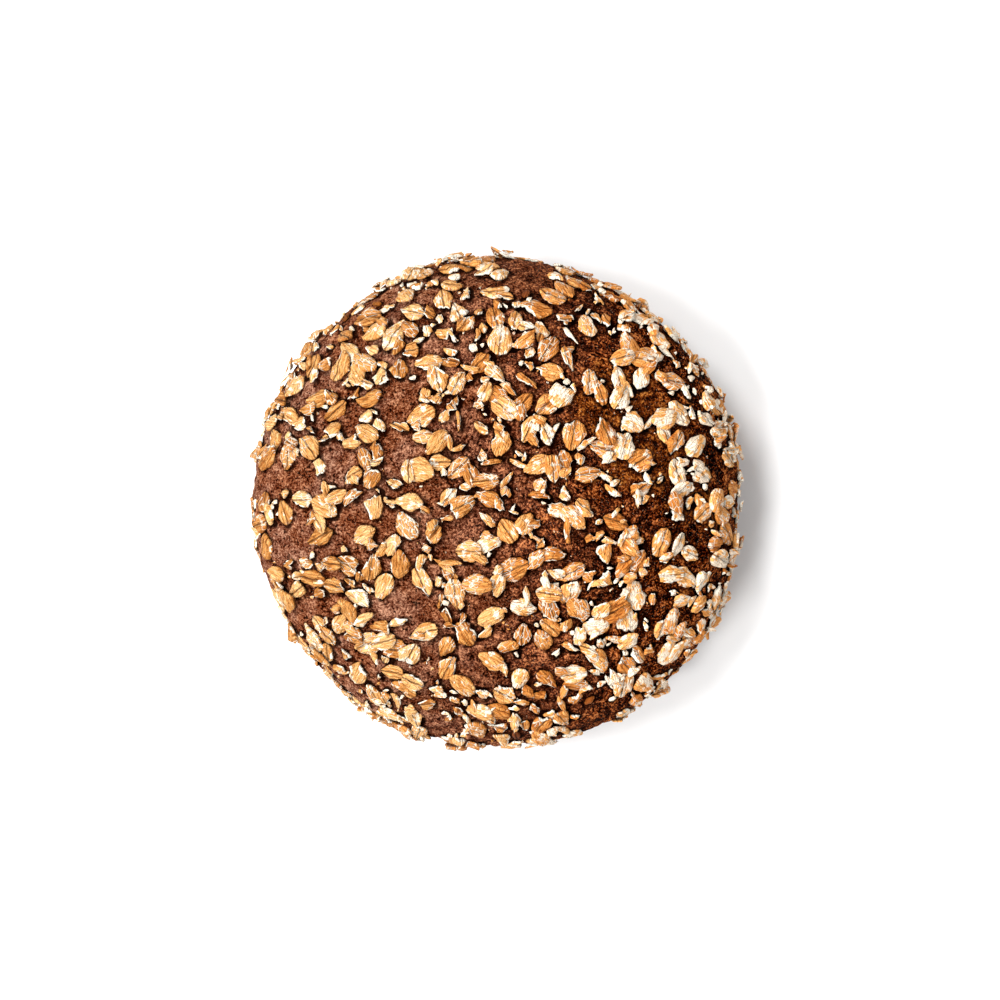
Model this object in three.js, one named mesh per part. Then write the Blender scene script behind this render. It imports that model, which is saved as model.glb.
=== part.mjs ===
// A round spelt loaf: one baked body that stands on its flat underside, with rolled grain flakes
// baked onto the crust. Millimetres, +Z up, with the origin at the middle of the underside.
import * as THREE from "three";
import { ParametricGeometry } from "three/addons/geometries/ParametricGeometry.js";

const { degToRad, lerp, smoothstep } = THREE.MathUtils;

// Driving dimensions of the loaf.
const waistWidth = 168; // at its widest, a third of the way up
const waistHeight = 24;
const crownHeight = 72;
const baseWidth = 136; // the flat that lay on the baking stone
const domeFullness = 2.15; // 2 is an ellipse, and more is squarer in the shoulder

// The waist isn't quite round. Each wave: how many times around, how high, and where one crest is.
const outlineWaves = [
  { count: 2, height: 0.35, crest: -60 },
  { count: 3, height: 0.25, crest: -60 },
  { count: 5, height: 0.45, crest: 30 },
  { count: 6, height: 0.15, crest: 28 },
];

// Broad swells left by shaping the dough. Each wave: its length, heading, height and start.
const swells = [
  { length: 96, heading: 15, height: 1.1, start: 40 },
  { length: 74, heading: 80, height: 0.8, start: 150 },
  { length: 60, heading: 130, height: 0.6, start: 250 },
];

// Rolled grain flakes: thin ovals with a crowned top.
const flakeLength = { least: 9, most: 11.5 };
const flakeWidth = { least: 6, most: 8.5 };
const flakeEdge = 0.6; // thickness at the rim
const flakeCrown = 1.1; // thickness in the middle
const flakeChamfer = 0.06; // share of the half width
const seatGap = 0.35; // clearance between a flake and the crust
const flakeSpots = 66; // spots tried, and those on bare crust stay empty
const flakeDrift = 4; // how far along the crust a flake may lie from its spot
const lowestFlake = 13; // height above the underside
const shoulderStart = 46; // plan radius where the crown gives way to the shoulder
const flankStart = 74; // and the shoulder to the flank

// Crust that no flake stuck to: plan position and radius of each patch.
const barePatches = [
  { x: 19, y: 77, radius: 15 },
  { x: -33, y: 40, radius: 9 },
  { x: -62, y: -38, radius: 9 },
  { x: 3, y: -22, radius: 7 },
  { x: -38, y: -13, radius: 7 },
  { x: 54, y: -60, radius: 10 },
  { x: 38, y: -74, radius: 11 },
  { x: 43, y: 40, radius: 6 },
  { x: -28, y: -34, radius: 6 },
];

// How finely the solids are faceted.
const aroundSteps = 80;
const heelSteps = 6;
const domeSteps = 17;
const profileSteps = 1 + heelSteps + domeSteps; // the flat underside is one step
const flakeSides = 12;

const up = new THREE.Vector3(0, 0, 1);
const goldenTurn = (3 - Math.sqrt(5)) / 2; // share of a turn between neighbouring spots

const crustMaterial = new THREE.MeshStandardMaterial({
  name: "crust",
  color: 0x6a3d28,
  roughness: 0.75,
  metalness: 0,
});
const flakeMaterial = new THREE.MeshStandardMaterial({
  name: "grain_flake",
  color: 0xdcab72,
  roughness: 0.75,
  metalness: 0,
});

// Repeatable random numbers from 0 to 1.
function seededRandom(seed) {
  let state = seed;
  return () => {
    state = (state + 0x6d2b79f5) | 0;
    let mixed = Math.imul(state ^ (state >>> 15), 1 | state);
    mixed = (mixed + Math.imul(mixed ^ (mixed >>> 7), 61 | mixed)) ^ mixed;
    return ((mixed ^ (mixed >>> 14)) >>> 0) / 2 ** 32;
  };
}

// Radius and height of the loaf's half section. Step 0 is the middle of the underside, step 1 its
// edge, then come the rounded heel up to the waist and the dome up to the crown.
function profileAt(step) {
  const waistRadius = waistWidth / 2;
  const baseRadius = baseWidth / 2;
  if (step <= 1) return { radius: baseRadius * step, height: 0 };
  if (step <= 1 + heelSteps) {
    const angle = (((step - 1) / heelSteps) * Math.PI) / 2;
    return {
      radius: baseRadius + (waistRadius - baseRadius) * Math.sin(angle),
      height: waistHeight * (1 - Math.cos(angle)),
    };
  }
  const angle = (((step - 1 - heelSteps) / domeSteps) * Math.PI) / 2;
  const power = 2 / domeFullness;
  return {
    radius: waistRadius * Math.max(Math.cos(angle), 0) ** power,
    height: waistHeight + (crownHeight - waistHeight) * Math.sin(angle) ** power,
  };
}

// How far the waist stands out of round at this angle.
function outlineAt(angle) {
  const heights = outlineWaves.map(
    ({ count, height, crest }) => height * Math.cos(count * (angle - degToRad(crest))),
  );
  return heights.reduce((sum, height) => sum + height, 0);
}

// Height of the swells over a plan position.
function swellAt(x, y) {
  const heights = swells.map(({ length, heading, height, start }) => {
    const along = x * Math.cos(degToRad(heading)) + y * Math.sin(degToRad(heading));
    return height * Math.sin((2 * Math.PI * along) / length + degToRad(start));
  });
  return heights.reduce((sum, height) => sum + height, 0);
}

// A point of the crust: turn is the share of a full turn, and step is the place on the half section.
// The swells push it out from the loaf's heart, and fade away down to the waist.
function crustPoint(turn, step, target) {
  const { radius, height } = profileAt(step);
  const angle = 2 * Math.PI * turn;
  const outOfRound = 1 + outlineAt(angle) / (waistWidth / 2);
  target.set(radius * outOfRound * Math.cos(angle), radius * outOfRound * Math.sin(angle), height);
  const outward = new THREE.Vector3(target.x, target.y, 2 * (height - waistHeight)).normalize();
  const push = swellAt(target.x, target.y) * smoothstep(height, waistHeight / 2, crownHeight);
  return target.addScaledVector(outward, push);
}

// The direction that the crust faces there, from two short steps along it.
function crustNormal(turn, step) {
  const nudge = 0.01;
  const here = crustPoint(turn, step, new THREE.Vector3());
  const around = crustPoint(turn + nudge, step, new THREE.Vector3()).sub(here);
  const inward = crustPoint(turn, step + nudge, new THREE.Vector3()).sub(here);
  return around.cross(inward).normalize();
}

// Marks down the half section from the crown to the lowest flake, with the crust's area above each.
function measureCrust() {
  const stride = profileSteps / 400;
  const marks = [{ step: profileSteps, area: 0 }];
  for (let step = profileSteps; profileAt(step).height > lowestFlake; step -= stride) {
    const here = profileAt(step);
    const below = profileAt(step - stride);
    const slant = Math.hypot(below.radius - here.radius, below.height - here.height);
    const band = Math.PI * (here.radius + below.radius) * slant;
    marks.push({ step: step - stride, area: marks.at(-1).area + band });
  }
  return marks;
}

function onBareCrust(point) {
  return barePatches.some(({ x, y, radius }) => Math.hypot(point.x - x, point.y - y) < radius);
}

function zoneOf(point) {
  const planRadius = Math.hypot(point.x, point.y);
  if (planRadius < shoulderStart) return "crown";
  return planRadius < flankStart ? "shoulder" : "flank";
}

function makeLoaf() {
  const surface = (turn, share, target) => crustPoint(turn, share * profileSteps, target);
  const loaf = new THREE.Mesh(
    new ParametricGeometry(surface, aroundSteps, profileSteps),
    crustMaterial,
  );
  loaf.name = "loaf";
  return loaf;
}

// One flake: flat underneath, with a thin rim and a crowned top, lying along its own X axis.
function makeFlake(length, width) {
  const section = [
    new THREE.Vector2(0, 0),
    new THREE.Vector2(1, 0),
    new THREE.Vector2(1 - flakeChamfer, flakeEdge),
    new THREE.Vector2(0, flakeCrown),
  ];
  const geometry = new THREE.LatheGeometry(section, flakeSides);
  geometry.rotateX(Math.PI / 2);
  geometry.scale(length / 2, width / 2, 1);
  return new THREE.Mesh(geometry, flakeMaterial);
}

// Flakes lie on an even spiral over the crust, each a little off its spot and turned at random.
function makeFlakes() {
  const random = seededRandom(7);
  const between = (range) => lerp(range.least, range.most, random());
  const marks = measureCrust();
  const flakedArea = marks.at(-1).area;
  const counts = { crown: 0, shoulder: 0, flank: 0 };
  const flakes = [];
  for (let spot = 0; spot < flakeSpots; spot += 1) {
    const { step } = marks.find((mark) => mark.area >= (flakedArea * (spot + 0.5)) / flakeSpots);
    const reach = Math.max(profileAt(step).radius, flakeDrift);
    const turn = spot * goldenTurn + ((random() - 0.5) * flakeDrift) / reach;
    const flake = makeFlake(between(flakeLength), between(flakeWidth));
    const twist = new THREE.Quaternion().setFromAxisAngle(up, random() * Math.PI);
    const seat = crustPoint(turn, step, new THREE.Vector3());
    if (onBareCrust(seat)) continue;
    const normal = crustNormal(turn, step);
    flake.quaternion.setFromUnitVectors(up, normal).multiply(twist);
    flake.position.copy(seat).addScaledVector(normal, seatGap);
    const zone = zoneOf(seat);
    counts[zone] += 1;
    flake.name = `${zone}_flake_${String(counts[zone]).padStart(2, "0")}`;
    flakes.push(flake);
  }
  return flakes;
}

// The bread is moved so that the middle of its box is over the origin.
const bread = new THREE.Group();
bread.add(makeLoaf(), ...makeFlakes());
const box = new THREE.Box3().setFromObject(bread, true);
const middle = box.getCenter(new THREE.Vector3());
bread.position.set(-middle.x, -middle.y, -box.min.z);

export default bread;
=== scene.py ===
# Looks of a round spelt loaf: a dark crust under a baked-on topping of rolled grain.
# Shapes are worked out in millimetres, and turned into metres as each mesh is made.
from math import pi, radians

import bpy
import numpy as np
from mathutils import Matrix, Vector


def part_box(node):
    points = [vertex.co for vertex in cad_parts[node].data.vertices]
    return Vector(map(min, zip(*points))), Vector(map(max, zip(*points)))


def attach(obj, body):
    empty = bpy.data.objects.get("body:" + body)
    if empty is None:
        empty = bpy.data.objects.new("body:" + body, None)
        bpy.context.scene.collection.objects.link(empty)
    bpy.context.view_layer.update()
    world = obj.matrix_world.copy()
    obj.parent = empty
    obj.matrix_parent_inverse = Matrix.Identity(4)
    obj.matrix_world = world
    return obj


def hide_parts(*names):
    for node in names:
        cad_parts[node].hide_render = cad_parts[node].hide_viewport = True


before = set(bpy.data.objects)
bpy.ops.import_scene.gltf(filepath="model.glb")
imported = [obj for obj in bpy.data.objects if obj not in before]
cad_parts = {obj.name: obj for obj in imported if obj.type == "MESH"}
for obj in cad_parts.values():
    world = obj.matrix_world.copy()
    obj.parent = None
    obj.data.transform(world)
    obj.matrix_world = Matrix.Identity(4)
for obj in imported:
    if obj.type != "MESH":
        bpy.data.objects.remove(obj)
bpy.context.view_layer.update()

mm = 0.001
fullTurn = 2 * pi
rng = np.random.default_rng(30)
print("frame loaded:", len(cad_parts), "nodes")


# Two repeatable random numbers from 0 to 1 for each cell of a grid: the cell's whole-number
# place is mixed into one large integer, whose low and high parts are the two numbers.
def cellNumbers(cell, seed):
    key = (cell * np.array((374761393, 668265263, 2147483629))).sum(axis=-1) + seed * 1274126177
    key = (key ^ (key >> 13)) * 1274126177
    key = (key ^ (key >> 15)) * 2246822519
    key = key ^ (key >> 17)
    return (key & 0xFFFF) / 65536, ((key >> 16) & 0xFFFF) / 65536


# Gradient noise: each corner of the cell around a point holds a random slope, and the heights
# that the eight slopes give at the point are blended by its place in the cell. The sum seldom
# passes 0.6, so it is stretched to about -1 to 1.
noiseStretch = 1.7


def noiseAt(points, wavelength, seed):
    grid = points / wavelength
    cell = np.floor(grid).astype(np.int64)
    part = grid - cell
    ease = part**3 * (part * (part * 6 - 15) + 10)
    total = np.zeros(points.shape[:-1])
    for corner in np.ndindex(2, 2, 2):
        rise, spin = cellNumbers(cell + corner, seed)
        rise = rise * 2 - 1
        level = np.sqrt(1 - rise**2)
        flat = (level * np.cos(spin * fullTurn), level * np.sin(spin * fullTurn), rise)
        share = np.prod(np.where(np.array(corner) == 1, ease, 1 - ease), axis=-1)
        total += share * ((part - corner) * np.stack(flat, axis=-1)).sum(axis=-1)
    return total * noiseStretch


# Distance from each point to the nearest of a scatter of spots, one in each cell of a grid, and
# that spot's own random number.
def nearestSpot(points, spacing, seed):
    grid = points / spacing
    cell = np.floor(grid).astype(np.int64)
    nearest = np.full(points.shape[:-1], np.inf)
    owner = np.zeros(points.shape[:-1])
    for step in np.ndindex(3, 3, 3):
        spotCell = cell + np.array(step) - 1
        alongX, alongY = cellNumbers(spotCell, seed)
        alongZ, own = cellNumbers(spotCell, seed + 1)
        spot = spotCell + np.stack((alongX, alongY, alongZ), axis=-1)
        distance = np.linalg.norm(grid - spot, axis=-1)
        owner = np.where(distance < nearest, own, owner)
        nearest = np.minimum(distance, nearest)
    return nearest * spacing, owner


# 0 below low, 1 above high, and an S between them.
def ramp(value, low, high):
    share = np.clip((value - low) / (high - low), 0, 1)
    return share * share * (3 - 2 * share)


def unit(vectors):
    return vectors / np.maximum(np.linalg.norm(vectors, axis=-1, keepdims=True), 1e-9)


# Random numbers in a range given as (least, most).
def between(limits, shape):
    return limits[0] + (limits[1] - limits[0]) * rng.random(shape)


# A mesh object from points in millimetres and groups of faces, each (corner numbers, smooth).
# Each field is a number or a vector for every point, which the piece's material reads by name.
def makePiece(name, points, faceGroups, material, fields):
    mesh = bpy.data.meshes.new(name)
    corners = np.concatenate([group.ravel() for group, smooth in faceGroups])
    sizes = np.concatenate([np.full(len(group), group.shape[1]) for group, smooth in faceGroups])
    shading = np.concatenate([np.full(len(group), smooth) for group, smooth in faceGroups])
    mesh.vertices.add(len(points))
    mesh.vertices.foreach_set("co", (points * mm).astype(np.float32).ravel())
    mesh.loops.add(len(corners))
    mesh.loops.foreach_set("vertex_index", corners.astype(np.int32))
    mesh.polygons.add(len(sizes))
    mesh.polygons.foreach_set("loop_start", (np.cumsum(sizes) - sizes).astype(np.int32))
    mesh.polygons.foreach_set("use_smooth", shading)
    mesh.update(calc_edges=True)
    for field, values in fields.items():
        kind, slot = ("FLOAT", "value") if values.ndim == 1 else ("FLOAT_VECTOR", "vector")
        layer = mesh.attributes.new(field, kind, "POINT")
        layer.data.foreach_set(slot, values.astype(np.float32).ravel())
    mesh.materials.append(material)
    piece = bpy.data.objects.new(name, mesh)
    bpy.context.scene.collection.objects.link(piece)
    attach(piece, "root")
    return piece


# The loaf's form.
loafForm = {
    "waistWidth": 168,  # at its widest, a third of the way up
    "waistHeight": 24,
    "crownHeight": 72,
    "baseWidth": 136,  # the flat that lay on the baking stone
    "domeFullness": 2.15,  # 2 is an ellipse, and more is squarer in the shoulder
    # waves around the waist: how many, how high, and where one crest is in degrees
    "outlineWaves": ((2, 0.35, -60), (3, 0.25, -60), (5, 0.45, 30), (6, 0.15, 28)),
    # broad swells over the dome: length, heading, height, and start in degrees
    "swells": ((96, 15, 1.1, 40), (74, 80, 0.8, 150), (60, 130, 0.6, 250)),
}
waistRadius = loafForm["waistWidth"] / 2
baseRadius = loafForm["baseWidth"] / 2
waistHeight = loafForm["waistHeight"]
crownHeight = loafForm["crownHeight"]


# Radius and height of the half section. Place runs from 0 to 1 over the flat underside, on to 2
# up the heel, a quarter ellipse, and on to 3 up the dome, a quarter superellipse.
def sectionAt(place):
    heel = np.clip(place - 1, 0, 1) * pi / 2
    dome = np.clip(place - 2, 0, 1) * pi / 2
    power = 2 / loafForm["domeFullness"]
    low = np.minimum(place, 1) * baseRadius + (waistRadius - baseRadius) * np.sin(heel)
    high = waistRadius * np.maximum(np.cos(dome), 0) ** power
    height = waistHeight * (1 - np.cos(heel))
    height = height + (crownHeight - waistHeight) * np.maximum(np.sin(dome), 0) ** power
    return np.where(place > 2, high, low), height


# The form without its relief: the half section swept round, out of round by a sum of cosines of
# the angle, and pushed away from the loaf's heart by a sum of sines over the plan.
def formPoints(turn, place):
    angle = turn * fullTurn
    radius, height = sectionAt(place)
    outOfRound = 1
    for count, rise, crest in loafForm["outlineWaves"]:
        outOfRound = outOfRound + rise / waistRadius * np.cos(count * (angle - radians(crest)))
    x = radius * outOfRound * np.cos(angle)
    y = radius * outOfRound * np.sin(angle)
    push = 0
    for length, heading, rise, start in loafForm["swells"]:
        along = x * np.cos(radians(heading)) + y * np.sin(radians(heading))
        push = push + rise * np.sin(fullTurn * along / length + radians(start))
    push = push * ramp(height, waistHeight / 2, crownHeight)
    outward = unit(np.stack((x, y, 2 * (height - waistHeight)), axis=-1))
    return np.stack((x, y, height), axis=-1) + outward * push[..., None] + formShift


# The form's points and the way that it faces there, the cross product of two short steps.
def formFrame(turn, place):
    inner = np.clip(place, 0.02, 2.98)
    step = 0.004
    around = formPoints(turn + step, inner) - formPoints(turn - step, inner)
    upward = formPoints(turn, inner + step) - formPoints(turn, inner - step)
    return formPoints(turn, place), unit(np.cross(around, upward))


# The form is moved so that its middle is over the middle of the frame's loaf.
formShift = np.zeros(3)
hull = formPoints(*np.meshgrid(np.linspace(0, 1, 361), np.linspace(1, 3, 81))).reshape(-1, 3)
loafBox = np.array([tuple(corner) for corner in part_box("loaf")]) / mm
formShift = loafBox.sum(axis=0) / 2 - (hull.min(axis=0) + hull.max(axis=0)) / 2
formShift[2] = 0
print("form placed, moved by", formShift.round(2), "mm")

# Running sums along the half section: its length, its area, and the angle seen from the heart.
placeTable = np.linspace(0, 3, 3001)
radiusTable, heightTable = sectionAt(placeTable)
lengthSteps = np.hypot(np.diff(radiusTable), np.diff(heightTable))
areaTable = np.append(0, np.cumsum(lengthSteps * (radiusTable[1:] + radiusTable[:-1]) * pi))
tiltTable = np.arctan2(heightTable - waistHeight, radiusTable)


# The crust.
crust = {
    "columns": 640,  # around the waist, a multiple of 2 to the power of mostHalvings
    "mostHalvings": 6,
    "halveEarly": 0.35,  # 0 waits until points are twice as close as wanted, and 1 halves at once
    "rowSpacing": (2.4, 1.0, 0.8),  # on the underside, the heel and the dome
    "layers": ((27, 0.9), (12, 0.55), (5.5, 0.5), (2.8, 0.42), (1.7, 0.3)),  # wavelength and height
    # dents: spacing of their spots, share of the spots taken, least and most radius, depth and lip
    "dents": (
        (17, 0.30, 1.6, 3.2, 0.9, 0.35),
        (8, 0.35, 0.8, 1.7, 0.7, 0.18),
        (4.5, 0.30, 0.6, 1.1, 0.8, 0.1),
    ),
    "lipWidth": 0.35,  # as a share of the dent's radius
    "dimples": (6, 0.35),  # of the underside: wavelength and depth
    "reliefFades": (1, 9),  # heights between which the relief of the dome begins
    "dimplesFade": (0, 4),  # heights between which the dimples end
    "seeds": {"layers": 11, "dents": 31, "dimples": 51},
    # painted shadow beside flakes, set off to the side away from the lamps: cells for finding it, and
    # how far it is shifted
    "seam": 0.8,
    "flakeShadowShift": (0.5, -0.3, 0),
    # glossy caramel-coloured stretches: x, y, radius and strength
    "caramel": ((52, 20, 20, 1.0), (36, 34, 12, 0.7), (68, -4, 12, 0.7), (10, 28, 10, 0.4),
                (-8, -34, 12, 0.35), (58, -28, 12, 0.5)),
    "caramelAbove": (8, 30),
}


# The two broadest layers of the relief: a sum of noises, each times its height.
def broadReliefAt(points):
    return sum(rise * noiseAt(points, wavelength, crust["seeds"]["layers"] + order)
               for order, (wavelength, rise) in enumerate(crust["layers"][:2]))


# Height of the relief over the form: layers of noise, less a bowl with a raised lip at each dent.
# Near the underside everything fades to shallow dimples.
def reliefAt(points):
    relief = broadReliefAt(points)
    for order, (wavelength, rise) in enumerate(crust["layers"][2:], 2):
        relief += rise * noiseAt(points, wavelength, crust["seeds"]["layers"] + order)
    for order, (spacing, share, least, most, depth, lip) in enumerate(crust["dents"]):
        distance, owner = nearestSpot(points, spacing, crust["seeds"]["dents"] + 2 * order)
        radius = least + (most - least) * owner / share
        taken = ramp(share - owner, 0, 0.02)
        relief -= taken * depth * ramp(radius - distance, 0, radius)
        relief += taken * lip * np.exp(-(((distance - radius) / (crust["lipWidth"] * radius)) ** 2))
    height = points[..., 2]
    wavelength, depth = crust["dimples"]
    dimples = depth * np.maximum(noiseAt(points, wavelength, crust["seeds"]["dimples"]), 0)
    relief = relief * ramp(height, *crust["reliefFades"])
    return relief - dimples * (1 - ramp(height, *crust["dimplesFade"]))


# Faces between two rings of points, the second above the first. Rings of as many points are
# joined by quads. Where one has half as many, each of its sides meets two sides of the other.
def joinRings(below, above):
    if len(below) == len(above):
        return [np.stack((below, np.roll(below, -1), np.roll(above, -1), above), axis=1)]
    fine, coarse = (below, above) if len(below) > len(above) else (above, below)
    first, middle, last = fine[0::2], fine[1::2], np.roll(fine[0::2], -1)
    here, there = coarse, np.roll(coarse, -1)
    if len(below) > len(above):
        return [np.stack((first, middle, here), axis=1), np.stack((middle, last, there, here), axis=1)]
    return [np.stack((here, middle, first), axis=1), np.stack((here, there, last, middle), axis=1)]


# How crowded each point is by others, from 0 to 1: both are put into the cells of a grid, and the
# share of the 27 cells around a point that hold one of the others is taken.
def crowdedBy(points, others, spacing):
    mix = np.array((1, 1000, 1000000))
    taken = np.unique(((others / spacing).round().astype(int) * mix).sum(axis=1))
    own = ((points / spacing).round().astype(int) * mix).sum(axis=1)
    crowd = np.zeros(len(points))
    for step in np.ndindex(3, 3, 3):
        key = own + ((np.array(step) - 1) * mix).sum()
        found = np.searchsorted(taken, key).clip(0, len(taken) - 1)
        crowd += taken[found] == key
    return crowd / 27


# Rows of points from the middle of the underside to the crown, each with half as many points as
# the last where the form closes in, capped by a fan at each end.
def makeCrust():
    base, heel, dome = crust["rowSpacing"]
    spacing = np.interp(placeTable[1:], (0.9, 1.0, 1.9, 2.1), (base, heel, heel, dome))
    rowTable = np.append(0, np.cumsum(lengthSteps / spacing))
    places = np.interp(np.linspace(0, rowTable[-1], int(rowTable[-1]))[1:-1], rowTable, placeTable)
    wanted = np.interp(places, placeTable[1:], spacing)
    crowded = crust["columns"] * wanted / (fullTurn * sectionAt(places)[0])
    halvings = np.floor(np.log2(crowded) + crust["halveEarly"])
    halvings = np.clip(halvings, 0, crust["mostHalvings"]).astype(int)
    counts = crust["columns"] // 2**halvings
    turn = np.concatenate([np.arange(count) / count for count in counts])
    place = np.repeat(places, counts)
    turn = np.concatenate(((0,), turn, (0,)))
    place = np.concatenate(((0,), place, (3,)))
    points, normals = formFrame(turn, place)
    relief = reliefAt(points)
    starts = 1 + np.cumsum(counts) - counts
    rings = [np.arange(start, start + count) for start, count in zip(starts, counts)]
    groups = [np.stack((np.zeros_like(rings[0]), np.roll(rings[0], -1), rings[0]), axis=1)]
    for below, above in zip(rings, rings[1:]):
        groups += joinRings(below, above)
    crown = np.full_like(rings[-1], len(points) - 1)
    groups.append(np.stack((rings[-1], np.roll(rings[-1], -1), crown), axis=1))
    caramel = sum(rise * np.exp(-(np.hypot(points[:, 0] - x, points[:, 1] - y) / radius) ** 2)
                  for x, y, radius, rise in crust["caramel"])
    finished = points + normals * relief[:, None]
    finished[:, 2] = np.maximum(finished[:, 2], 0)
    fields = {
        # painted shadow beside flakes: how crowded each point is by their feet, set off away from the
        # lamps
        "seam": crowdedBy(finished - crust["flakeShadowShift"], np.concatenate(laid["rims"]), crust["seam"]),
        # the fine relief, which the finish also uses to paint shade into the hollows
        "relief": relief - broadReliefAt(points),
        "caramel": caramel * ramp(points[:, 2], *crust["caramelAbove"]),
    }
    faceGroups = [(group, True) for group in groups]
    piece = makePiece("baked_crust", finished, faceGroups, crustFinish(), fields)
    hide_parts("loaf")
    print("crust:", len(points), "points,", sum(len(group) for group in groups), "faces")


# A colour as a painter's red, green and blue from 0 to 255, as the linear values of a shader.
def tint(red, green, blue):
    share = np.array((red, green, blue)) / 255
    linear = np.where(share < 0.04045, share / 12.92, ((share + 0.055) / 1.055) ** 2.4)
    return (*linear.tolist(), 1)


# A socket that sums can be written with: each sign adds a Math node.
class Wire:
    def __init__(self, finish, socket):
        self.finish = finish
        self.socket = socket

    def __add__(self, other):
        return self.finish.maths("ADD", self, other)

    def __radd__(self, other):
        return self.finish.maths("ADD", other, self)

    def __sub__(self, other):
        return self.finish.maths("SUBTRACT", self, other)

    def __rsub__(self, other):
        return self.finish.maths("SUBTRACT", other, self)

    def __mul__(self, other):
        return self.finish.maths("MULTIPLY", self, other)

    def __rmul__(self, other):
        return self.finish.maths("MULTIPLY", other, self)

    def __abs__(self):
        return self.finish.maths("ABSOLUTE", self, 0)


# One material. Its nodes all come from node: kind, settings, then values or wires of sockets.
class Finish:
    def __init__(self, name):
        self.material = bpy.data.materials.new(name)
        self.material.use_nodes = True
        self.tree = self.material.node_tree
        self.tree.nodes.clear()

    def node(self, kind, settings, sockets, out=0):
        made = self.tree.nodes.new(kind)
        for setting, value in settings.items():
            if setting == "stops":
                self.setStops(made.color_ramp, value)
            else:
                setattr(made, setting, value)
        for socket, value in sockets.items():
            if isinstance(value, Wire):
                self.tree.links.new(value.socket, made.inputs[socket])
            else:
                made.inputs[socket].default_value = value
        return Wire(self, made.outputs[out]) if made.outputs else None

    def setStops(self, band, stops):
        while len(band.elements) < len(stops):
            band.elements.new(1)
        for element, (place, *paint) in zip(band.elements, stops):
            element.position = place
            element.color = tint(*paint)

    def maths(self, operation, first, second):
        return self.node("ShaderNodeMath", {"operation": operation}, {0: first, 1: second})

    def larger(self, first, second):
        return self.maths("MAXIMUM", first, second)

    def numbers(self, name):
        return self.node("ShaderNodeAttribute", {"attribute_name": name}, {}, "Fac")

    def vectors(self, name):
        return self.node("ShaderNodeAttribute", {"attribute_name": name}, {}, "Vector")

    def spot(self):
        return self.node("ShaderNodeTexCoord", {}, {}, "Object")

    def parts(self, vector):
        split = self.node("ShaderNodeSeparateXYZ", {}, {0: vector}).socket.node
        return [Wire(self, socket) for socket in split.outputs]

    def product(self, first, second):
        return self.node("ShaderNodeVectorMath", {"operation": "MULTIPLY"}, {0: first, 1: second})

    def noise(self, vector, size, detail=2, roughness=0.5):
        sockets = {"Vector": vector, "Scale": 1 / size, "Detail": detail, "Roughness": roughness}
        return self.node("ShaderNodeTexNoise", {}, sockets)

    def ease(self, value, low, high):
        sockets = {"Value": value, "From Min": low, "From Max": high}
        return self.node("ShaderNodeMapRange", {"interpolation_type": "SMOOTHSTEP"}, sockets)

    def tints(self, value, stops):
        return self.node("ShaderNodeValToRGB", {"stops": stops}, {"Fac": value})

    def blend(self, share, first, second):
        return self.node("ShaderNodeMix", {"data_type": "RGBA"}, {0: share, 6: first, 7: second}, 2)

    def bump(self, height, distance):
        return self.node("ShaderNodeBump", {}, {"Height": height, "Distance": distance})

    def surface(self, sockets):
        shader = self.node("ShaderNodeBsdfPrincipled", {}, sockets)
        self.node("ShaderNodeOutputMaterial", {}, {"Surface": shader})
        return self.material


# The crust's looks. Each scale runs from its deepest pits to its brightest grain, in stops of
# a place and a painter's red, green and blue.
crustLooks = {
    "brown": ((0.33, 4, 0, 0), (0.40, 78, 22, 2), (0.465, 118, 60, 32), (0.555, 148, 88, 59),
              (0.69, 218, 151, 109)),
    "dusky": ((0.33, 4, 0, 0), (0.40, 73, 24, 6), (0.465, 112, 62, 42), (0.555, 138, 87, 65),
              (0.69, 208, 154, 124)),
    "umber": ((0.42, 1, 0, 0), (0.475, 30, 0, 0), (0.53, 88, 25, 2), (0.595, 151, 70, 22),
              (0.69, 238, 145, 80)),
    "amber": ((0.32, 2, 0, 0), (0.42, 36, 7, 0), (0.51, 90, 33, 4), (0.60, 146, 72, 20),
              (0.72, 220, 142, 66)),
    "floury": ((0.32, 44, 20, 8), (0.5, 112, 66, 34), (0.7, 164, 112, 68)),
    # pale specks, partly flour dust and partly painted glints
    "dustAndGlint": (214, 164, 132),
    # painted shadow beside flakes, red-brown and then black; the black also paints shade into pits
    "shadowBrown": (52, 14, 2),
    "shadowBlack": (4, 0, 0),
    # sizes in millimetres
    "grain": 0.75,
    "lumps": 3.2,
    "mottle": 13,
    "pits": 1.5,
    "dustAndGlints": 0.55,
    "bump": 2.0,
    "roughness": 0.75,
    "smoother": 0.3,  # how much the roughness falls where it is glossy
    "specular": 0.005,
    "coat": 0.03,
    "coatRoughness": 0.22,
    # in metres
    "umberFrom": (-0.04, 0.055),  # x between which brown turns to umber
    "flouryBelow": (0.012, 0.002),  # heights between which the crust turns floury
}
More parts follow.
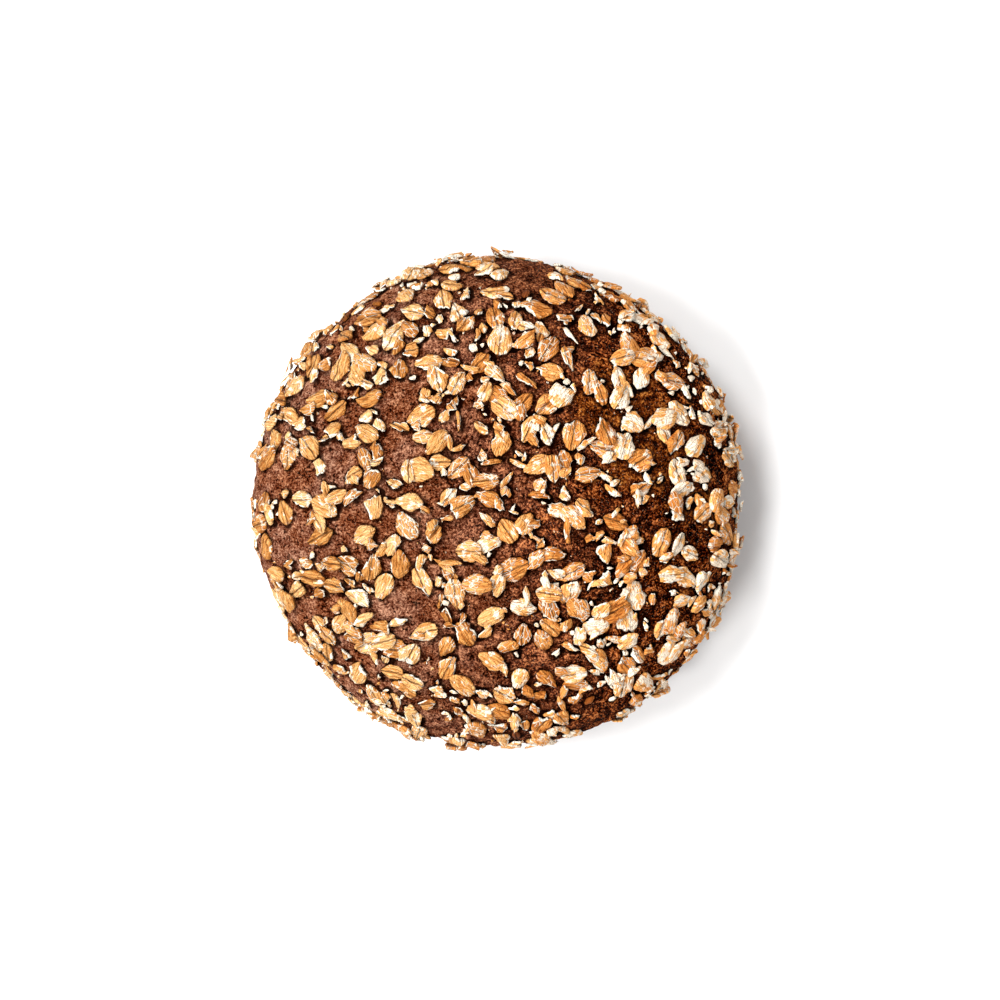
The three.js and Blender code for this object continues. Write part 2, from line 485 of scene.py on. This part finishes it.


# The crust's finish. Fine grain, with some of the lumps, the mottle and the relief, picks a
# colour on each scale, and the relief paints shade into the hollows. Brown gives way to dusky in
# patches, to umber across the loaf, to amber where it is glossy and to floury low down. Pale specks,
# partly flour dust and partly painted glints, black pits of painted shade and painted shadow beside
# flakes lie on top.
def crustFinish():
    finish = Finish("baked_crust")
    spot = finish.spot()
    place = finish.parts(spot)
    relief = finish.numbers("relief")
    seam = finish.numbers("seam")
    grain = finish.noise(spot, crustLooks["grain"] * mm, 3, 0.75)
    lumps = finish.noise(spot, crustLooks["lumps"] * mm, 3, 0.6)
    mottle = finish.noise(spot, crustLooks["mottle"] * mm)
    # the relief term makes hollows darker: painted shade
    baked = (grain - 0.5) * 1.12 + 0.5 + (lumps - 0.5) * 0.5 + (mottle - 0.5) * 0.25 + relief * 0.09
    scales = ("brown", "dusky", "umber", "amber", "floury")
    brown, dusky, umber, amber, floury = (finish.tints(baked, crustLooks[scale]) for scale in scales)
    glossy = finish.ease(finish.numbers("caramel") + (mottle - 0.5) * 1.2 + (lumps - 0.5), 0.35, 0.85)
    darker = finish.ease(place[0] + (mottle - 0.5) * 0.09, *crustLooks["umberFrom"])
    colour = finish.blend(finish.ease(mottle, 0.4, 0.6), brown, dusky)
    colour = finish.blend(darker, colour, umber)
    colour = finish.blend(glossy, colour, amber)
    low = finish.ease(place[2] + (mottle - 0.5) * 0.012, *crustLooks["flouryBelow"])
    colour = finish.blend(low * 0.75, colour, floury)
    # pale specks, partly flour dust and partly painted glints
    dustAndGlints = finish.ease(finish.noise(spot, crustLooks["dustAndGlints"] * mm, 1), 0.66, 0.74)
    colour = finish.blend(dustAndGlints * 0.5, colour, tint(*crustLooks["dustAndGlint"]))
    # painted shadow beside flakes, red-brown at its edge
    colour = finish.blend(finish.ease(seam, 0, 0.1) * 0.7, colour, tint(*crustLooks["shadowBrown"]))
    # pits: black spots of painted shade in small holes, more of them where the relief dips
    pits = finish.ease(finish.noise(spot, crustLooks["pits"] * mm, 1) + relief * 0.05, 0.36, 0.29)
    # painted shadow, black right beside flakes and a little blacker towards +x
    shadowBlack = finish.ease(seam, 0.02, 0.13) * (0.86 + darker * 0.14)
    colour = finish.blend(finish.larger(shadowBlack, pits * 0.8), colour, tint(*crustLooks["shadowBlack"]))
    dull = crustLooks["roughness"] - glossy * crustLooks["smoother"]
    return finish.surface({
        "Base Color": colour,
        "Roughness": dull + (grain - 0.5) * 0.3,
        "Normal": finish.bump(grain + lumps * 1.5, crustLooks["bump"] * mm),
        "Specular IOR Level": crustLooks["specular"],
        "Coat Weight": glossy * crustLooks["coat"],
        "Coat Roughness": crustLooks["coatRoughness"],
    })


# The flakes' looks, with colours as above.
flakeLooks = {
    "body": ((0.30, 140, 78, 26), (0.42, 186, 118, 52), (0.53, 210, 146, 78), (0.70, 232, 182, 118)),
    "litLeftTint": (0.94, 1.01, 1.16, 1),  # painted light: what the body is multiplied by on the lit left
    # painted shade: what the body is multiplied by on the shaded right
    "shadedRightTint": (1.13, 0.96, 0.78, 1),
    "tintTurns": (-0.06, 0.06),  # x in metres, between which left turns to right
    # scales along, across and between flakes, and sizes in millimetres
    "fibreScale": (0.28, 1.7, 1),
    "plateScale": (0.35, 0.9, 1),
    "cloud": 3.2,
    "grit": 0.5,
    "mood": 12,
    "toasted": (158, 88, 30),
    "kernel": (92, 40, 16),
    # painted shade in the crease
    "crease": (84, 42, 14),
    "starch": (250, 242, 224),
    "bump": 1.1,
    "roughness": 0.7,
    "specular": 0.12,
}


# The flakes' finish. It reads lie, a point's place on its flat piece in millimetres, and mark:
# 1 where the piece tore, its tone, from a dark kernel below 0 to pale above 1, and 1 if creased.
# Fibres run along the body, which is tinted as painted light on the left and as painted shade on
# the right. Rims are toasted, creases are darkened with painted shade, and white starch shows in
# fine cracks, where the flake tore, and where its skin is worn off.
def flakeFinish():
    finish = Finish("toasted_flake")
    lie = finish.vectors("lie")
    torn, tone, creased = finish.parts(finish.vectors("mark"))
    # 0 on the lit left and 1 on the shaded right, for painted light and shade
    side = finish.ease(finish.parts(finish.spot())[0], *flakeLooks["tintTurns"])
    fibre = finish.noise(finish.product(lie, flakeLooks["fibreScale"]), 1)
    cloud = finish.noise(lie, flakeLooks["cloud"])
    grit = finish.noise(lie, flakeLooks["grit"], 2, 0.6)
    mood = finish.noise(lie, flakeLooks["mood"], 0)
    sockets = {"Vector": finish.product(lie, flakeLooks["plateScale"]), "Scale": 1}
    plates = finish.node("ShaderNodeTexVoronoi", {"feature": "DISTANCE_TO_EDGE"}, sockets)
    body = fibre * 0.85 + 0.075 + (tone - 0.5) * 0.34 + (grit - 0.5) * 0.2
    lightAndShadeTint = finish.blend(side, flakeLooks["litLeftTint"], flakeLooks["shadedRightTint"])
    colour = finish.product(finish.tints(body, flakeLooks["body"]), lightAndShadeTint)
    toast = finish.ease(finish.numbers("rim") + (cloud - 0.5) * 1.2, 0.8, 1.1)
    toast = toast * finish.ease(tone, 0.8, 0.2)
    colour = finish.blend(toast * 0.5, colour, tint(*flakeLooks["toasted"]))
    dark = finish.ease(tone, -0.2, -0.5) * (0.5 + cloud * 0.6)
    colour = finish.blend(dark, colour, tint(*flakeLooks["kernel"]))
    wander = finish.parts(lie)[1] + (cloud - 0.5) * 0.9
    # painted shade along the crease
    crease = finish.ease(abs(wander), 0.34, 0.1) * creased
    colour = finish.blend(crease * 0.7, colour, tint(*flakeLooks["crease"]))
    cracks = finish.ease(plates + (grit - 0.5) * 0.05, 0.09, 0.03)
    cracks = cracks * finish.ease(cloud + (mood - 0.5) * 1.6, 0.48, 0.62)
    starch = finish.ease(torn + (grit - 0.5) * 0.3 + (cloud - 0.5) * 1.1, 0.50, 0.64)
    # slightly more worn white towards the shaded right: painted light
    worn = finish.ease(cloud * 0.7 + fibre * 0.3 + (tone - 0.5) * 0.2 + side * 0.06, 0.63, 0.68)
    white = finish.larger(finish.larger(cracks * 0.7, starch), worn * 0.75)
    white = white * finish.ease(tone, -0.15, 0.05)
    colour = finish.blend(white, colour, tint(*flakeLooks["starch"]))
    groove = fibre + grit * 0.4 - crease * 0.8 + finish.ease(plates, 0, 0.12) * 0.3
    return finish.surface({
        "Base Color": colour,
        "Roughness": flakeLooks["roughness"],
        "Normal": finish.bump(groove, flakeLooks["bump"] * mm),
        "Specular IOR Level": flakeLooks["specular"],
    })


# The topping: where flakes stick, and what has been laid so far.
topping = {
    "lowest": 9,  # height above the underside
    "thinBelow": 30,  # height under which the topping thins out
    # crust that stayed bare: x, y and radius
    "barePatches": ((13, 78, 11), (33, 52, 8), (52, 34, 7), (30, 29, 5), (-31, 30, 5), (-74, 8, 7),
                    (-10, -10, 6), (-31, -31, 10), (10, -31, 7), (-74, -14, 6), (-6, -52, 8),
                    (14, -52, 7), (34, -76, 10), (76, 8, 7), (52, -10, 5), (54, -54, 6), (-20, -76, 5)),
    # where they lie in heaps: x, y and radius
    "heaps": ((74, 30, 9), (52, 12, 9), (10, 52, 12), (10, 32, 9), (-30, 70, 10), (-10, 70, 9),
              (-52, 10, 7), (-52, -32, 9), (32, -32, 9), (-52, -52, 8), (-31, 50, 7), (32, 10, 9),
              (32, -10, 8)),
    "heapGain": 0.9,
    "clumps": (13, 1.0),  # thicker and thinner stretches: wavelength and strength
    "clumpSeed": 71,
    "flankShare": 0.2,  # chance that a flake sticks low down, and what the crown adds to it
    "crownShare": 0.55,
    "leftThinning": (0.3, -60),  # how much thinner the topping gets, and at what x
    "paintedLightRight": (0.2, 70),  # painted light: how much paler flakes get towards +x, away from the lamps, and at what x
    "bareShare": 0.04,  # of the flakes that stick on a bare patch all the same
    "bareEdge": (0.75, 1.15),  # where the patch's edge lies, as shares of its radius
    "triesPerPiece": 14,
    "mostUnder": 2,  # pieces that one piece leans on
    "highestLevel": 2,
}
laid = {"centre": np.zeros((0, 3)), "reach": np.zeros(0), "level": np.zeros(0, int), "rims": []}
flakeMaterial = flakeFinish()


# Random turns and places, even over the crust's area above the lowest flake.
def drawSeats(count):
    share = np.where(heightTable < topping["lowest"], 0, np.gradient(areaTable))
    sums = np.cumsum(share * (placeTable > 1))
    return rng.random(count), np.interp(rng.random(count), sums / sums[-1], placeTable)


# Chance that a flake sticks: less on the flank and to the left, more in clumps and in heaps,
# and next to none on bare patches. The shares of each are multiplied.
def stickChance(points):
    x, y, height = points.T
    chance = topping["flankShare"]
    chance = chance + topping["crownShare"] * ramp(height, topping["lowest"], topping["thinBelow"])
    wavelength, strength = topping["clumps"]
    chance = chance * (1 + strength * noiseAt(points, wavelength, topping["clumpSeed"]))
    thinning, end = topping["leftThinning"]
    chance = chance * (1 - thinning * ramp(x, 0, end))
    for heapX, heapY, radius in topping["heaps"]:
        distance = np.hypot(x - heapX, y - heapY)
        chance = chance * (1 + topping["heapGain"] * np.exp(-(distance / radius) ** 2))
    least = topping["bareShare"]
    for patchX, patchY, radius in topping["barePatches"]:
        distance = np.hypot(x - patchX, y - patchY)
        outside = ramp(distance / radius, *topping["bareEdge"])
        chance = chance * (least + (1 - least) * outside)
    return chance


# Seats for a batch, one at a time: a piece that would crowd its neighbours is left out, and one
# that overlaps a neighbour a little goes a level higher and leans on it.
def laySeats(batch):
    tries = batch["count"] * topping["triesPerPiece"]
    turn, place = drawSeats(tries)
    points, normals = formFrame(turn, place)
    length = between(batch["length"], tries)
    width = length * between(batch["slimness"], tries)
    reach = (length + width) / 4
    lean = np.zeros((tries, 3))
    level = np.zeros(tries, int)
    picked = []
    for i in np.flatnonzero(rng.random(tries) < stickChance(points)):
        away = points[i] - laid["centre"]
        closeness = np.linalg.norm(away, axis=1) / (laid["reach"] + reach[i])
        under = closeness < batch["crowding"]
        if not batch["closest"] < closeness.min() < batch["nearest"]:
            continue
        if under.sum() > topping["mostUnder"]:
            continue
        if under.any():
            level[i] = laid["level"][under].max() + 1
            lean[i] = unit(away[under].mean(axis=0)) * batch["leaning"]
        if level[i] > topping["highestLevel"] or (level[i] > 0 and rng.random() > batch["heaping"]):
            continue
        laid["centre"] = np.vstack((laid["centre"], points[i]))
        laid["reach"] = np.append(laid["reach"], reach[i])
        laid["level"] = np.append(laid["level"], level[i])
        picked.append(i)
        if len(picked) == batch["count"]:
            break
    seats = {"points": points, "normals": normals, "length": length, "width": width}
    seats |= {"lean": lean, "level": level}
    seats = {name: values[picked] for name, values in seats.items()}
    seats["heading"] = rng.random(len(picked)) * fullTurn
    return seats


# Three axes of each seat: out of the crust and leaning, and along and across the piece.
def seatAxes(seats, loose):
    lean = seats["lean"] + (rng.random((len(seats["length"]), 3)) - 0.5) * 2 * loose
    out = unit(seats["normals"] + lean)
    guide = np.where(np.abs(out[:, :1]) > 0.8, (0.0, 1.0, 0.0), (1.0, 0.0, 0.0))
    east = unit(guide - out * (guide * out).sum(axis=1, keepdims=True))
    north = np.cross(out, east)
    spin = seats["heading"][:, None]
    along = east * np.cos(spin) + north * np.sin(spin)
    return along, np.cross(out, along), out


# Height of points over the finished crust, measured along the form's normal below them.
def gapOver(points):
    x, y, height = np.moveaxis(points - formShift, -1, 0)
    turn = np.arctan2(y, x) / fullTurn
    place = np.interp(np.arctan2(height - waistHeight, np.hypot(x, y)), tiltTable, placeTable)
    foot, normal = formFrame(turn, place)
    return ((points - foot) * normal).sum(axis=-1) - reliefAt(foot)


# Outlines of a batch's pieces, as shares of their half length and half width at the end of each
# spoke: an oval drawn in to a point at its tips, cut off along chords where it tore, and nicked.
# Beside them go the spokes' angles, and 1 where a spoke ends in a tear.
def flakeOutlines(batch, count):
    spokes = batch["spokes"]
    angle = (np.arange(spokes) + between((-0.3, 0.3), (count, spokes))) / spokes * fullTurn
    along, across = np.cos(angle), np.sin(angle)
    tip = between(batch["pointed"], (count, 1))
    across = across * (1 - tip * ramp(along, -0.2, 1) - tip * 0.4 * ramp(-along, 0.1, 1))
    reach, torn = np.ones((count, spokes)), np.zeros((count, spokes))
    for chance in batch["tears"]:
        heading = between((0, fullTurn), (count, 1))
        facing = along * np.cos(heading) + across * np.sin(heading)
        depth = between(batch["tearDepth"], (count, 1))
        depth = np.where(rng.random((count, 1)) < chance, depth, np.inf)
        limit = depth / np.maximum(facing, 0.05)
        torn = np.where(limit < reach, 1, torn)
        reach = np.minimum(limit, reach)
    reach = reach * (1 - batch["nick"] * rng.random((count, spokes)) ** 1.5 * (1 + torn))
    return np.stack((along, across)) * reach, angle, torn


# Values at the spokes repeated for each ring of a piece, after a 0 for its middle.
def overRings(values, rings):
    middle = np.zeros((*values.shape[:-1], 1))
    return np.concatenate((middle, np.tile(values, len(rings))), axis=-1)


# Pieces of flake, all of a batch at once. Each is rings of points, its outline times a share:
# those of the batch, the brow where the top turns over, the rim halfway down its side, and the
# foot. The top is crowned, less a crease along the middle, plus ridges beside it. The whole
# bends along and across, twists, curls towards its rim, and settles onto the crust, where a limp
# piece follows the relief some of the way.
def shapeFlakes(batch, seats):
    count, spokes = len(seats["length"]), batch["spokes"]
    outline, angle, torn = flakeOutlines(batch, count)
    rings = np.array((*batch["rings"], batch["brow"], 1, batch["foot"]))
    share = np.append(0, np.repeat(rings, spokes)) + np.zeros((count, 1))
    around = overRings(outline, rings)
    tear = overRings(torn, rings)
    share = share - (share == batch["brow"]) * tear * batch["tornSlope"]
    tear = tear * ramp(share, batch["tearStarts"], 1)
    halfLength = seats["length"][:, None] / 2
    halfWidth = seats["width"][:, None] / 2
    x = share * around[0] * halfLength
    y = share * around[1] * halfWidth
    standing = np.append(np.ones(len(rings) - 2), (0.5, 0))
    standing = np.append(1, np.repeat(standing, spokes))
    crown = 1 - np.minimum(share, 1) ** 2.2
    upward = np.maximum(seats["normals"][:, 2:], 0)
    flank = batch["flankThickness"]
    thickness = between(batch["thickness"], (count, 1)) * (flank + (1 - flank) * upward)
    creased = (rng.random((count, 1)) < batch["creased"]) * 1.0
    crease = creased * batch["crease"] * np.exp(-((y / (batch["creaseWidth"] * halfWidth)) ** 2))
    crease = crease * ramp(1 - np.abs(x) / halfLength, 0, 0.3)
    ridge = np.cos(fullTurn * y / between(batch["ridgeSpacing"], (count, 1)) + angle[:, :1])
    ridge = batch["ridge"] * ridge * crown
    rough = batch["bumps"] * (rng.random(x.shape) - 0.5) * 2
    domed = batch["rimThickness"] + (1 - batch["rimThickness"]) * crown
    rise = standing * thickness * (domed + ridge + rough - crease)
    bend = between(batch["bendAlong"], (count, 1)) * x**2
    bend = bend + between(batch["bendAcross"], (count, 1)) * y**2
    bend = bend + between(batch["twist"], (count, 1)) * x * y
    curl = between(batch["curl"], (count, 1)) * share**3
    bend = bend + curl * overRings(np.cos(2 * angle + angle[:, :1] * 9), rings)
    axes = seatAxes(seats, batch["loose"] * (0.4 + 0.6 * upward))
    along, across, out = (axis[:, None] for axis in axes)
    flat = seats["points"][:, None] + x[..., None] * along + y[..., None] * across
    flat = flat + bend[..., None] * out
    gap = gapOver(flat)
    rest = np.quantile(gap, batch["restShare"], axis=1, keepdims=True)
    limp = batch["limp"] * np.clip(gap - rest, -batch["mostLimp"], batch["mostLimp"])
    limp = limp * (seats["level"] == 0)[:, None]
    height = rise - rest - batch["sunk"] - limp + seats["level"][:, None] * batch["stacking"]
    points = flat + height[..., None] * out
    # the feet of the outline, kept for the painted shadow on the crust beside the piece
    if batch["scorching"]:
        laid["rims"].append(points[:, -spokes:].reshape(-1, 3))
    own = rng.random((count, 1)) * 400  # so that no two pieces share their grain
    # flakes are painted paler towards +x, as painted light where the lamps reach less
    paintedPaling, end = topping["paintedLightRight"]
    tone = between(batch["tone"], (count, 1)) + paintedPaling * ramp(seats["points"][:, :1], 0, end)
    own, tone, creased = (np.broadcast_to(values, x.shape) for values in (own, tone, creased))
    fields = {
        "lie": np.stack((x, y, own), axis=-1).reshape(-1, 3),
        "mark": np.stack((tear, tone, creased), axis=-1).reshape(-1, 3),
        "rim": np.minimum(share, 1).ravel(),
    }
    return points, fields


# Faces of one piece of a batch: a fan around the middle, quads out to the rim and down its edge,
# and one face underneath.
def flakeFaces(batch):
    spokes, fan = batch["spokes"], len(batch["rings"]) + 3
    ring = np.arange(1, 1 + spokes)
    around = np.roll(ring, -1)
    top = [np.stack((np.zeros_like(ring), ring, around), axis=1)]
    for step in range(fan - 1):
        here, there = ring + step * spokes, around + step * spokes
        top.append(np.stack((here, here + spokes, there + spokes, there), axis=1))
    under = (ring + (fan - 1) * spokes)[::-1][None]
    return [(group, order < len(top) - 1) for order, group in enumerate(top)] + [(under, False)]


# Repeats one piece's faces for every piece of a batch.
def repeatFaces(faceGroups, count, stride):
    moves = np.arange(count)[:, None, None] * stride
    return [((group[None] + moves).reshape(-1, group.shape[1]), smooth) for group, smooth in faceGroups]


def makeBatch(name, batch):
    seats = laySeats(batch)
    points, fields = shapeFlakes(batch, seats)
    groups = repeatFaces(flakeFaces(batch), *points.shape[:2])
    piece = makePiece(name, points.reshape(-1, 3), groups, flakeMaterial, fields)
    print(name + ":", len(points), "pieces,", sum(len(group) for group, smooth in groups), "faces")


# Kinds of piece. Lengths are in millimetres, ranges are (least, most), and slimness is width over
# length. Rings, brow, foot and nick are shares of the outline, tears are the chances of each
# tear, and closeness to a neighbour is its distance over the sum of both reaches: closer than
# crowding a piece lies on it, and closer than closest or farther than nearest it is left out.
wholeFlakes = {
    "count": 285, "length": (8.2, 12.0), "slimness": (0.6, 0.82), "thickness": (1.2, 2.1),
    "spokes": 20, "rings": (0.5,), "brow": 0.92, "foot": 0.93, "pointed": (0.1, 0.55),
    "tears": (0.45, 0.25), "tearDepth": (0.5, 0.9), "tornSlope": 0.14, "nick": 0.14,
    "creased": 0.45, "crease": 0.6, "ridge": 0.17, "ridgeSpacing": (1.4, 2.2), "bumps": 0.18,
    "bendAlong": (-0.03, 0.02), "bendAcross": (-0.06, 0.07), "twist": (-0.012, 0.012),
    "curl": (0.2, 1.0),
    "creaseWidth": 0.26,  # as a share of the half width
    "tearStarts": 0.55,  # share of the outline from which a torn piece shows starch
    "rimThickness": 0.7,  # as a share of the thickness in the middle
    "flankThickness": 0.65,  # share of its thickness that a piece keeps on an upright wall
    "restShare": 0.3,  # share of its points that start below the relief
    "mostLimp": 0.8,  # the deepest and highest relief that a limp piece follows
    "loose": 0.2, "limp": 0.3, "sunk": 0.1,  # tilt at random, share of the relief followed, depth
    "crowding": 0.8, "closest": 0.44, "nearest": 99,
    "heaping": 0.7, "leaning": 0.28, "stacking": 0.85,  # chance to lie on others, tilt and rise then
    "scorching": True,  # whether painted shadow darkens the crust beside it
    "tone": (0.2, 1.0),  # a dark kernel below 0, and pale above 1
}
nodeFlakes = wholeFlakes | {
    "loose": 0.06, "tears": (0.4, 0.3), "tearDepth": (0.6, 0.95), "rings": (0.35, 0.7),
}
tornFlakes = wholeFlakes | {
    "count": 345, "length": (5.4, 10), "slimness": (0.55, 0.9), "thickness": (0.9, 1.7),
    "spokes": 14, "tears": (1, 1, 0.5), "tearDepth": (0.2, 0.75), "nick": 0.24,
    "creased": 0.3, "bendAcross": (-0.04, 0.07), "loose": 0.24,
    "crowding": 0.72, "closest": 0.42, "leaning": 0.32, "tone": (0.2, 1.05),
}
slivers = wholeFlakes | {
    "count": 100, "length": (5.0, 9.5), "slimness": (0.28, 0.45), "thickness": (0.9, 1.5),
    "spokes": 12, "tears": (0.8, 0.6), "tearDepth": (0.35, 0.8), "nick": 0.2,
    "creased": 0, "bendAcross": (-0.1, 0.1), "loose": 0.26,
    "crowding": 0.6, "closest": 0.3, "nearest": 1.6, "leaning": 0.25, "tone": (0.2, 1.1),
}
starchChips = wholeFlakes | {
    "count": 280, "length": (2.0, 4.8), "slimness": (0.4, 0.85), "thickness": (0.7, 1.3),
    "spokes": 9, "rings": (), "tears": (1, 1, 1), "tearDepth": (0.3, 0.8), "nick": 0.2,
    "creased": 0, "bendAcross": (-0.06, 0.06), "loose": 0.25,
    "crowding": 0.5, "closest": 0.3, "nearest": 1.15, "leaning": 0.2, "tone": (0.7, 1.6),
}
crumbs = starchChips | {
    "count": 230, "length": (0.9, 2.2), "scorching": False, "thickness": (0.5, 0.9), "spokes": 7,
    "crowding": 0.35, "closest": 0.1, "nearest": 1.3, "tone": (-0.1, 1.1),
}
sunkKernels = wholeFlakes | {
    "count": 16, "length": (3.6, 6.0), "slimness": (0.5, 0.65), "thickness": (1.4, 1.9),
    "spokes": 12, "tears": (), "nick": 0.04, "creased": 0.3, "curl": (0, 0),
    "crowding": 0.9, "closest": 0.8, "heaping": 0, "sunk": 0.3, "tone": (-0.8, -0.2),
}


# Flakes that have nodes in the frame: each is shaped anew where its node lies, from the middle,
# the axes and the extents of the node's points.
def makeNodeFlakes():
    names = sorted(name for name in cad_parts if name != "loaf")
    count = len(names)
    seats = {name: [] for name in ("points", "normals", "length", "width")}
    longAxes = []
    for name in names:
        corners = np.array([tuple(vertex.co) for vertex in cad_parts[name].data.vertices]) / mm
        middle = (corners.min(axis=0) + corners.max(axis=0)) / 2
        thin, wide, long = np.linalg.eigh(np.cov((corners - middle).T))[1].T
        seats["points"].append(middle)
        seats["normals"].append(thin * np.sign(thin @ (middle - (0, 0, waistHeight / 2))))
        seats["length"].append(np.ptp(corners @ long))
        seats["width"].append(np.ptp(corners @ wide))
        longAxes.append(long)
    seats = {name: np.array(values) for name, values in seats.items()}
    seats |= {"lean": np.zeros((count, 3)), "level": np.zeros(count, int), "heading": np.zeros(count)}
    east, north, out = seatAxes(seats, 0)
    longAxes = np.array(longAxes)
    seats["heading"] = np.arctan2((longAxes * north).sum(axis=1), (longAxes * east).sum(axis=1))
    laid["centre"], laid["level"] = seats["points"], seats["level"]
    laid["reach"] = (seats["length"] + seats["width"]) / 4
    points, fields = shapeFlakes(nodeFlakes, seats)
    stride = points.shape[1]
    for order, name in enumerate(names):
        rows = slice(order * stride, (order + 1) * stride)
        own = {field: values[rows] for field, values in fields.items()}
        piece = makePiece(name + "_toasted", points[order], flakeFaces(nodeFlakes), flakeMaterial, own)
        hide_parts(name)
    print("flakes with nodes:", count)


makeNodeFlakes()
makeBatch("whole_flakes", wholeFlakes)
makeBatch("torn_flakes", tornFlakes)
makeBatch("slivers", slivers)
makeBatch("starch_chips", starchChips)
makeBatch("crumbs", crumbs)
makeBatch("sunk_kernels", sunkKernels)
makeCrust()


# Floor, lights and camera, in metres.
studio = {
    "floorSize": 6,
    "floorColour": (0.9, 0.9, 0.9, 1),
    "worldStrength": 0.57,
    "lampSize": 0.4,
    "lampDistance": 1.2,
    # soft lamps: azimuth and height in degrees, and watts
    "lamps": ((-179, 57, 9), (129, 60, 9), (-131, 58, 9)),
    "lens": 100,
    "sensor": 36,
    "widthSeen": 0.347,  # across the picture, at the height of the waist
    "lookAt": (0.0017, 0.0005),
}


def makeStudio():
    scene = bpy.context.scene
    bpy.ops.mesh.primitive_plane_add(size=studio["floorSize"])
    floor = bpy.context.object
    floor.name = "floor"
    paper = Finish("pale_paper")
    floor.data.materials.append(paper.surface({"Base Color": studio["floorColour"], "Roughness": 0.9,
                                               "Specular IOR Level": 0.1}))
    world = bpy.data.worlds.new("soft_surround")
    world.use_nodes = True
    world.node_tree.nodes["Background"].inputs["Color"].default_value = (1, 1, 1, 1)
    world.node_tree.nodes["Background"].inputs["Strength"].default_value = studio["worldStrength"]
    scene.world = world
    for order, (azimuth, rise, watts) in enumerate(studio["lamps"]):
        azimuth, rise = radians(azimuth), radians(rise)
        aim = Vector((np.cos(azimuth) * np.cos(rise), np.sin(azimuth) * np.cos(rise), np.sin(rise)))
        light = bpy.data.lights.new(f"lamp_{order}", "AREA")
        light.shape = "DISK"
        light.size = studio["lampSize"]
        light.energy = watts
        lamp = bpy.data.objects.new(f"lamp_{order}", light)
        lamp.location = aim * studio["lampDistance"]
        lamp.rotation_euler = aim.to_track_quat("Z", "Y").to_euler()
        scene.collection.objects.link(lamp)
    camera = bpy.data.objects.new("camera", bpy.data.cameras.new("camera"))
    camera.data.lens = studio["lens"]
    camera.data.sensor_width = studio["sensor"]
    distance = studio["widthSeen"] * studio["lens"] / studio["sensor"]
    camera.location = (*studio["lookAt"], distance + waistHeight * mm)
    scene.collection.objects.link(camera)
    scene.camera = camera
    scene.view_settings.view_transform = "Standard"


makeStudio()
